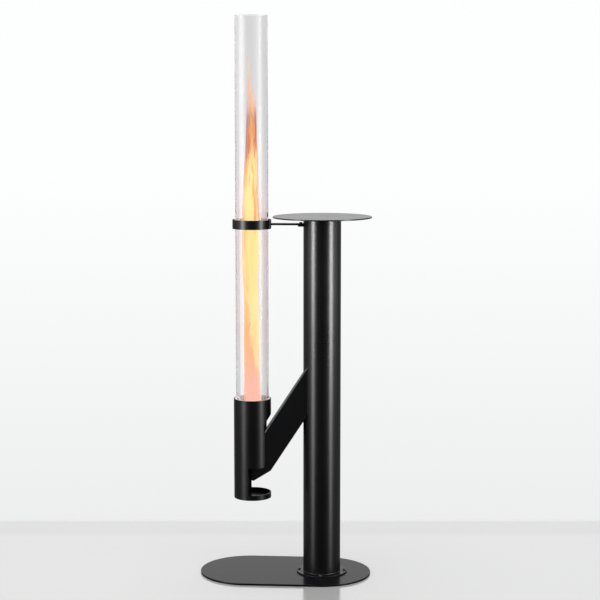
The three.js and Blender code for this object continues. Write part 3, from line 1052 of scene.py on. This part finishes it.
def path_object(name, points, closed):
    """An object whose mesh is one run of edges."""
    data = bpy.data.meshes.new(name)
    last = len(points) if closed else len(points) - 1
    data.from_pydata(points, [(index, (index + 1) % len(points)) for index in range(last)], [])
    return in_scene(name, data)


def foot_path():
    """The corner between the post's foot and the flange."""
    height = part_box("post_flange")[1].z
    return [
        (POST_AXIS.x + POST_RADIUS * math.cos(angle), POST_AXIS.y + POST_RADIUS * math.sin(angle), height)
        for angle in (TURN * step / TURNED_SIDES for step in range(TURNED_SIDES))
    ]


def chute_line(x):
    """The heights of the chute's top face and bottom face at x."""
    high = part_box("feed_chute")[1]
    top = high.z + (x - high.x) * math.tan(CHUTE_SLOPE)
    return top, top - CHUTE_DEPTH / math.cos(CHUTE_SLOPE)


def post_wall(y):
    """The x of the post's wall on the burner's side."""
    return POST_AXIS.x - math.sqrt(POST_RADIUS**2 - y**2)


def cope_path():
    """The closed corner between the chute and the post."""
    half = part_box("feed_chute")[1].y
    steps = 40
    across = [half * (2 * step / steps - 1) for step in range(steps + 1)]
    top = [(post_wall(y), y, chute_line(post_wall(y))[0]) for y in across]
    under = [(post_wall(y), y, chute_line(post_wall(y))[1]) for y in reversed(across)]
    return top + under


def sleeve_paths():
    """The corners between the chute's front and rear sides and the burner sleeve."""
    length, inset = 96 * MM, 6 * MM
    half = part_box("feed_chute")[1].y
    radius = width_of("burner_sleeve") / 2
    x = GLASS_AXIS.x + math.sqrt(radius**2 - half**2)
    top = chute_line(x)[0] - inset
    return [[(x, side * half, top - length), (x, side * half, top)] for side in (-1, 1)]


class HEATER_OT_welds(Operator):
    """Lays the weld beads that join post, flange, chute and burner sleeve"""

    bl_idname = "heater.welds"
    bl_label = "Weld Beads"

    def execute(self, context):
        sizes = context.scene.heater_sizes
        tree = weld_bead_tree()
        front, rear = sleeve_paths()
        for name, points, closed, share in (
            ("weld_foot", foot_path(), True, 1.0),
            ("weld_chute", cope_path(), True, 0.8),
            ("weld_sleeve_front", front, False, 0.6),
            ("weld_sleeve_rear", rear, False, 0.6),
        ):
            values = {
                "Bead Width": sizes.weld_width * share,
                "Ripple Pitch": sizes.weld_pitch,
                "Ripple Share": sizes.weld_ripple,
                "Material": finish_of("black_coat"),
            }
            bead = grown(path_object(name, points, closed), tree, values)
            placed(bead, body="stand")
        return {"FINISHED"}


# Outlines of the flame and of a lick beside its tip: height in metres, left and right edge in mm from the
# middle of the glass
FLAME_OUTLINE = (
    (0.416, -8, 6),
    (0.455, -15, 12),
    (0.505, -21, 17),
    (0.532, -25, 25),
    (0.550, -25, 26),
    (0.670, -24, 24),
    (0.730, -25, 23),
    (0.850, -26, 22),
    (1.031, -28, 22),
    (1.115, -28, 20),
    (1.211, -26, 18),
    (1.265, -22, 17),
    (1.302, -18, 18),
    (1.377, -14, 15),
    (1.416, -13, 13),
    (1.452, -12, 9),
    (1.497, -12, 2),
    (1.557, -13, -5.5),
    (1.590, -12.5, -9.5),
)
LICK_OUTLINE = (
    (1.270, 4, 13),
    (1.340, 6, 15),
    (1.400, 8, 15),
    (1.440, 9.5, 14),
    (1.458, 11, 13),
)

# Each tongue's outline, the share of its width, the height of its top, its heat, cover and seed
TONGUES = {
    "flame_outer": (FLAME_OUTLINE, 1.0, FLAME_OUTLINE[-1][0], 0.0, 0.62, 11.0),
    "flame_middle": (FLAME_OUTLINE, 0.82, 1.54, 0.5, 0.80, 14.5),
    "flame_core": (FLAME_OUTLINE, 0.60, 1.46, 1.0, 0.90, 18.0),
    "flame_lick": (LICK_OUTLINE, 1.0, LICK_OUTLINE[-1][0], 0.3, 0.80, 13.1),
}
TONGUE_ROWS = 110
TONGUE_SIDES = 40

# An inner tongue tapers over this share of its height. How far a tongue sways, and how much it bulges
TAPER_SHARE, TAPER_POWER = 0.22, 0.6
SWAY, SWAYS_A_METRE = 3 * MM, 4.0
BULGE_SHARE, BULGES_ROUND, BULGES_A_METRE = 0.22, 1.3, 7.0


def between(rows, at):
    """The row of a table at a height, between its neighbours."""
    for low, high in zip(rows, rows[1:]):
        if at <= high[0]:
            share = max(0.0, (at - low[0]) / (high[0] - low[0]))
            return [a + (b - a) * share for a, b in zip(low, high)]
    return list(rows[-1])


def tongue(outline, share, top, seed):
    """A closed flame tongue: the whole outline, or a share of its width that tapers to a top of its own."""
    mesh = bmesh.new()
    start = outline[0][0]
    rows = []
    for step in range(TONGUE_ROWS + 1):
        height = start + (top - start) * step / TONGUE_ROWS
        _, left, right = between(outline, height)
        taper = 1.0
        if share < 1:
            taper = min(1.0, (top - height) / (TAPER_SHARE * (top - start))) ** TAPER_POWER
        middle = (left + right) / 2 * MM
        half = (right - left) / 2 * MM * share * taper
        sway = noise.noise(Vector((seed, 0.0, height * SWAYS_A_METRE))) * SWAY
        row = []
        for side in range(TONGUE_SIDES):
            angle = TURN * side / TONGUE_SIDES
            across, inwards = math.cos(angle), math.sin(angle)
            where = Vector((across * BULGES_ROUND + seed, inwards * BULGES_ROUND, height * BULGES_A_METRE))
            reach = half * (1.0 + BULGE_SHARE * noise.noise(where))
            x = GLASS_AXIS.x + middle + reach * across
            y = GLASS_AXIS.y + sway + reach * inwards
            row.append(mesh.verts.new((x, y, height)))
        rows.append(row)
    for here, there in zip(rows, rows[1:]):
        bridge(mesh, here, there)
    mesh.faces.new(rows[0])
    mesh.faces.new(rows[-1])
    return closed_up(mesh)


class HEATER_OT_flame(Operator):
    """Makes the flame in the glass as tongues inside each other, with a lick beside its tip"""

    bl_idname = "heater.flame"
    bl_label = "Flame"

    def execute(self, context):
        for name, (outline, share, top, heat, cover, seed) in TONGUES.items():
            material = flame_material(f"{name}_glow", heat, cover)
            obj = shown(name, tongue(outline, share, top, seed), material)
            obj.visible_shadow = False
            obj.visible_glossy = False
            placed(obj, body="stand")
        return {"FINISHED"}


# The stage

# Metres behind the heater where the floor turns darker, a painted shade where it meets the backdrop, and
# where it ends, and from the heater where it fades
FLOOR_PAINTED_SHADE = (0.38, 0.47)
FLOOR_ENDS = (0.575, 0.63)
FLOOR_FADES_OUT = (2.0, 3.4)

# The brightness of the floor's clouds and of its painted shade beside its own, and its gloss
CLOUD_SHARE = 0.93
PAINTED_SHADE_SHARE = 0.90
FLOOR_GLOSS_SHARE = 0.6
FLOOR_GLOSS = (0.96, 0.96, 0.96, 1.0)


def floor_material(stage):
    """Pale glossy floor with painted shade where it ends behind the heater; it fades out far away and is
    clear from below.
    """
    material, tree = new_material("studio_floor")
    place = object_place(tree)
    inwards = (-math.sin(stage.azimuth), math.cos(stage.azimuth), 0.0)
    depth = vector_maths(tree, "DOT_PRODUCT", place, inwards)
    away = vector_maths(tree, "LENGTH", place)
    shade = grain(tree, place, 1.3)
    cloud, painted_shade = (tuple(share * channel for channel in stage.floor) for share in (CLOUD_SHARE, PAINTED_SHADE_SHARE))
    tone = mixed(tree, mapped(tree, shade, (0.3, 0.7), (0.0, 0.3)), tuple(stage.floor), cloud)
    # Painted shade: the floor is darker just before it ends, where it meets the backdrop
    tone = mixed(tree, mapped(tree, depth, FLOOR_PAINTED_SHADE, smooth=True), tone, painted_shade)
    matt = add_node(tree, "ShaderNodeBsdfDiffuse", {"Color": tone}).outputs[0]
    values = {"Color": FLOOR_GLOSS, "Roughness": mapped(tree, shade, (0.3, 0.7), (0.09, 0.13))}
    gloss = add_node(tree, "ShaderNodeBsdfGlossy", values).outputs[0]
    pale = either(tree, FLOOR_GLOSS_SHARE, matt, gloss)
    gone = add_node(tree, "ShaderNodeBsdfTransparent").outputs[0]
    behind = mapped(tree, depth, FLOOR_ENDS, smooth=True)
    far = mapped(tree, away, FLOOR_FADES_OUT, smooth=True)
    below = add_node(tree, "ShaderNodeNewGeometry").outputs["Backfacing"]
    fade = maths(tree, "MAXIMUM", below, maths(tree, "MAXIMUM", behind, far))
    surface(tree, either(tree, fade, pale, gone))
    return material


def studio_floor(stage):
    """The floor, just under the heater. The strip lamps don't light it."""
    half, drop = 4.0, 0.2 * MM
    mesh = bmesh.new()
    bmesh.ops.create_grid(mesh, x_segments=8, y_segments=8, size=half)
    bmesh.ops.translate(mesh, verts=mesh.verts, vec=(0.0, 0.0, -drop))
    floor = shown("floor", mesh, floor_material(stage))
    floor.visible_glossy = False
    floor.visible_shadow = False
    kept_from(floor, UNLIT)
    kept_from(floor, LEFT_UNLIT)


# Painted highlights and shade on the glass, as the backdrop that only rays through the glass see, low and
# high: how far a ray goes to the right, and the backdrop's share there
PAINTED_GLASS_BANDS_LOW = (
    (-0.60, 0.82),
    (-0.25, 1.00),
    (-0.120, 1.00),
    (-0.098, 1.38),
    (-0.063, 1.36),
    (-0.045, 1.00),
    (0.25, 1.00),
    (0.60, 0.82),
)
PAINTED_GLASS_BANDS_HIGH = (
    (-0.60, 0.80),
    (-0.25, 0.98),
    (-0.122, 1.00),
    (-0.095, 1.25),
    (-0.070, 1.24),
    (-0.053, 0.98),
    (-0.045, 0.93),
    (-0.028, 0.93),
    (-0.010, 1.05),
    (0.008, 1.05),
    (0.030, 0.92),
    (0.060, 0.85),
    (0.25, 0.80),
    (0.60, 0.72),
)
BRIGHTEST_PAINTED_BAND = 1.5

# How steeply a ray rises where each of these changes, and how far back it goes where front meets back
HIGH_GLASS_STARTS = (-0.09, -0.03)
WALL_PALES = (-0.257, -0.05)
BACK_STARTS = (-0.03, 0.03)
BACK_DIMS = (0.10, 0.24)
FRONT_STARTS = (0.10, 0.35)
FRONT_TO_BACK = (-0.25, 0.55)

# Colours of the backdrop at the floor and higher up, and of the studio that gloss shows behind and in front
WALL_LOW, WALL_HIGH = (0.850, 0.853, 0.857), (0.990, 0.993, 0.995)
BACK_LOW, BACK_LEVEL, BACK_HIGH = (0.18, 0.18, 0.182), (0.86, 0.86, 0.87), (0.67, 0.67, 0.675)
FRONT_LOW, FRONT_HIGH = (0.0, 0.0, 0.0), (0.67, 0.67, 0.673)


def painted_glass_bands(tree, aside, rise):
    """The share of the backdrop's brightness behind the glass, as a grey that is 1 at the brightest: bright
    and dark bands that paint highlights and shade onto the glass.
    """
    low, high = (
        ramp_by(tree, aside, [(at, (share / BRIGHTEST_PAINTED_BAND,) * 3) for at, share in table])
        for table in (PAINTED_GLASS_BANDS_LOW, PAINTED_GLASS_BANDS_HIGH)
    )
    return mixed(tree, mapped(tree, rise, HIGH_GLASS_STARTS), low, high)


def studio_world(stage):
    """White backdrop for the camera, and for rays through the glass the same backdrop with painted bright and
    dark bands, a studio with a dark front for gloss, even light for the rest.
    """
    world = bpy.data.worlds.new("studio")
    world.use_nodes = True
    tree = world.node_tree
    tree.nodes.clear()
    direction = add_node(tree, "ShaderNodeTexCoord").outputs["Generated"]
    way = split(tree, direction)
    rise = way["Z"]
    light = add_node(tree, "ShaderNodeLightPath").outputs
    across = (math.cos(stage.azimuth), math.sin(stage.azimuth), 0.0)
    aside = vector_maths(tree, "DOT_PRODUCT", direction, across)

    wall = mixed(tree, mapped(tree, rise, WALL_PALES), WALL_LOW, WALL_HIGH)
    # Painted highlights and shade on the glass: rays through it see this backdrop brighter and darker in
    # bands
    through = vector_maths(tree, "MULTIPLY", wall, (BRIGHTEST_PAINTED_BAND,) * 3)
    through = vector_maths(tree, "MULTIPLY", through, painted_glass_bands(tree, aside, rise))
    backdrop = mixed(tree, light["Is Camera Ray"], through, wall)

    back = mixed(tree, mapped(tree, rise, BACK_DIMS), BACK_LEVEL, BACK_HIGH)
    back = mixed(tree, mapped(tree, rise, BACK_STARTS), BACK_LOW, back)
    front = mixed(tree, mapped(tree, rise, FRONT_STARTS), FRONT_LOW, FRONT_HIGH)
    studio = mixed(tree, mapped(tree, way["Y"], FRONT_TO_BACK, smooth=True), front, back)
    even = mixed(tree, light["Is Glossy Ray"], (stage.ambient,) * 3, studio)

    in_glass = maths(tree, "MINIMUM", light["Transmission Depth"], 1.0)
    seen = maths(tree, "MAXIMUM", light["Is Camera Ray"], in_glass)
    values = {"Color": mixed(tree, seen, even, backdrop), "Strength": 1.0}
    glow = add_node(tree, "ShaderNodeBackground", values)
    tree.links.new(glow.outputs[0], add_node(tree, "ShaderNodeOutputWorld").inputs["Surface"])
    bpy.context.scene.world = world


def around(azimuth, elevation):
    """The direction from the heater to a place round it, as the views count azimuth."""
    level = math.cos(elevation)
    return Vector((math.sin(azimuth) * level, -math.cos(azimuth) * level, math.sin(elevation)))


def turned_to(obj, place, aim):
    """Puts a lamp or a camera at a place, facing its aim."""
    obj.location = place
    obj.rotation_euler = (aim - place).to_track_quat("-Z", "Y").to_euler()


def lamp(name, place, aim, width, height, radiance):
    """A soft rectangular lamp of a given radiance that the camera doesn't see."""
    data = bpy.data.lights.new(name, "AREA")
    data.shape = "RECTANGLE"
    data.size, data.size_y = width, height
    data.energy = radiance * width * height * math.pi
    obj = in_scene(name, data)
    turned_to(obj, place, aim)
    obj.visible_camera = False
    return obj


# Heights along the strip lamps, and how bright the left and the right one are from there up
STRIP_SHARES = (
    (-0.90, 0.01, 0.01),
    (-0.65, 0.033, 0.025),
    (-0.40, 0.13, 0.145),
    (-0.15, 0.183, 0.138),
    (0.10, 0.19, 0.27),
    (0.35, 0.267, 0.53),
    (0.60, 0.86, 1.03),
    (0.85, 0.84, 0.75),
    (1.10, 0.50, 0.47),
    (1.50, 0.40, 0.30),
    (2.40, 0.0, 0.0),
)

# Each strip lamp's side, its turn further from the camera, its width and its share of the brightness
STRIPS = {
    "left": (-1, 0.0, 0.62, 1.0),
    "right": (1, 0.0, 0.62, 1.0),
    "left_spill": (-1, math.radians(28), 1.2, 0.045),
    "right_spill": (1, math.radians(28), 1.2, 0.045),
}
STRIP_DISTANCE = 2.1
LAMPS_MIDDLE = Vector((POST_AXIS.x / 2, 0.0, 0.0))


def strip_lamps(stage):
    """The upright strip lamps at both sides of the camera, in sections one above the other."""
    for name, (side, turn, width, part) in STRIPS.items():
        way = around(stage.azimuth + side * (stage.strip_angle + turn), 0.0)
        unlit = bpy.data.collections[LEFT_UNLIT if name == "left" else UNLIT]
        for index, (row, above) in enumerate(zip(STRIP_SHARES, STRIP_SHARES[1:])):
            low, left, right = row
            centre = Vector((0.0, 0.0, (low + above[0]) / 2))
            place = LAMPS_MIDDLE + way * STRIP_DISTANCE + centre
            glow = stage.strip_glow * part * (left if side < 0 else right)
            section = lamp(
                f"strip_{name}_{index + 1}", place, LAMPS_MIDDLE + centre, width, above[0] - low, glow
            )
            section.visible_diffuse = False
            section.visible_transmission = False
            section.light_linking.receiver_collection = unlit


def overhead_lamp():
    """The lamp overhead, which lights matt surfaces and gives no gloss."""
    place = LAMPS_MIDDLE + Vector((0.0, 0.2, 3.2))
    size, radiance = 1.8, 3.6
    lamp("overhead", place, LAMPS_MIDDLE, size, size, radiance).visible_glossy = False


def studio_camera(stage):
    """The camera, which looks down on the heater from a little right of its front."""
    data = bpy.data.cameras.new("camera")
    data.sensor_width = 36.0
    data.lens = stage.lens
    data.clip_start, data.clip_end = 0.05, 100.0
    camera = in_scene("camera", data)
    aim = Vector(stage.aim)
    turned_to(camera, aim + around(stage.azimuth, stage.pitch) * stage.distance, aim)
    bpy.context.scene.camera = camera


class HEATER_OT_stage(Operator):
    """Makes the floor, the lamps, the backdrop and the camera"""

    bl_idname = "heater.stage"
    bl_label = "Stage"

    def execute(self, context):
        context.scene.view_settings.view_transform = "Standard"
        stage = context.scene.heater_stage
        studio_world(stage)
        studio_floor(stage)
        strip_lamps(stage)
        overhead_lamp()
        studio_camera(stage)
        return {"FINISHED"}


class HEATER_PT_panel(Panel):
    """Lists the heater's pieces and what can be set on them"""

    bl_idname = "HEATER_PT_panel"
    bl_label = "Pellet Patio Heater"
    bl_space_type = "VIEW_3D"
    bl_region_type = "UI"
    bl_category = "Heater"

    def draw(self, context):
        column = self.layout.column(align=True)
        for operator in OPERATORS:
            column.operator(operator.bl_idname)
        for name in GROUPS:
            group = getattr(context.scene, name)
            box = self.layout.box()
            for key in group.__annotations__:
                box.prop(group, key)


OPERATORS = (
    HEATER_OT_stage,
    HEATER_OT_base,
    HEATER_OT_flange_screws,
    HEATER_OT_post,
    HEATER_OT_table,
    HEATER_OT_chute,
    HEATER_OT_burner,
    HEATER_OT_grate,
    HEATER_OT_glass,
    HEATER_OT_support_bar,
    HEATER_OT_ring,
    HEATER_OT_welds,
    HEATER_OT_flame,
)
GROUPS = {"heater_sizes": HeaterSizes, "heater_finish": HeaterFinish, "heater_stage": HeaterStage}


def register():
    """Registers the classes and puts the settings on the scene."""
    for group in GROUPS.values():
        bpy.utils.register_class(group)
    for operator in OPERATORS:
        bpy.utils.register_class(operator)
    bpy.utils.register_class(HEATER_PT_panel)
    for name, group in GROUPS.items():
        setattr(bpy.types.Scene, name, PointerProperty(type=group))


def unregister():
    """Takes the settings off the scene and unregisters the classes."""
    for name in GROUPS:
        delattr(bpy.types.Scene, name)
    bpy.utils.unregister_class(HEATER_PT_panel)
    for operator in reversed(OPERATORS):
        bpy.utils.unregister_class(operator)
    for group in reversed(list(GROUPS.values())):
        bpy.utils.unregister_class(group)


def main():
    """Registers the add-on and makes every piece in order."""
    register()
    for operator in OPERATORS:
        family, name = operator.bl_idname.split(".")
        getattr(getattr(bpy.ops, family), name)()


if __name__ == "__main__":
    main()
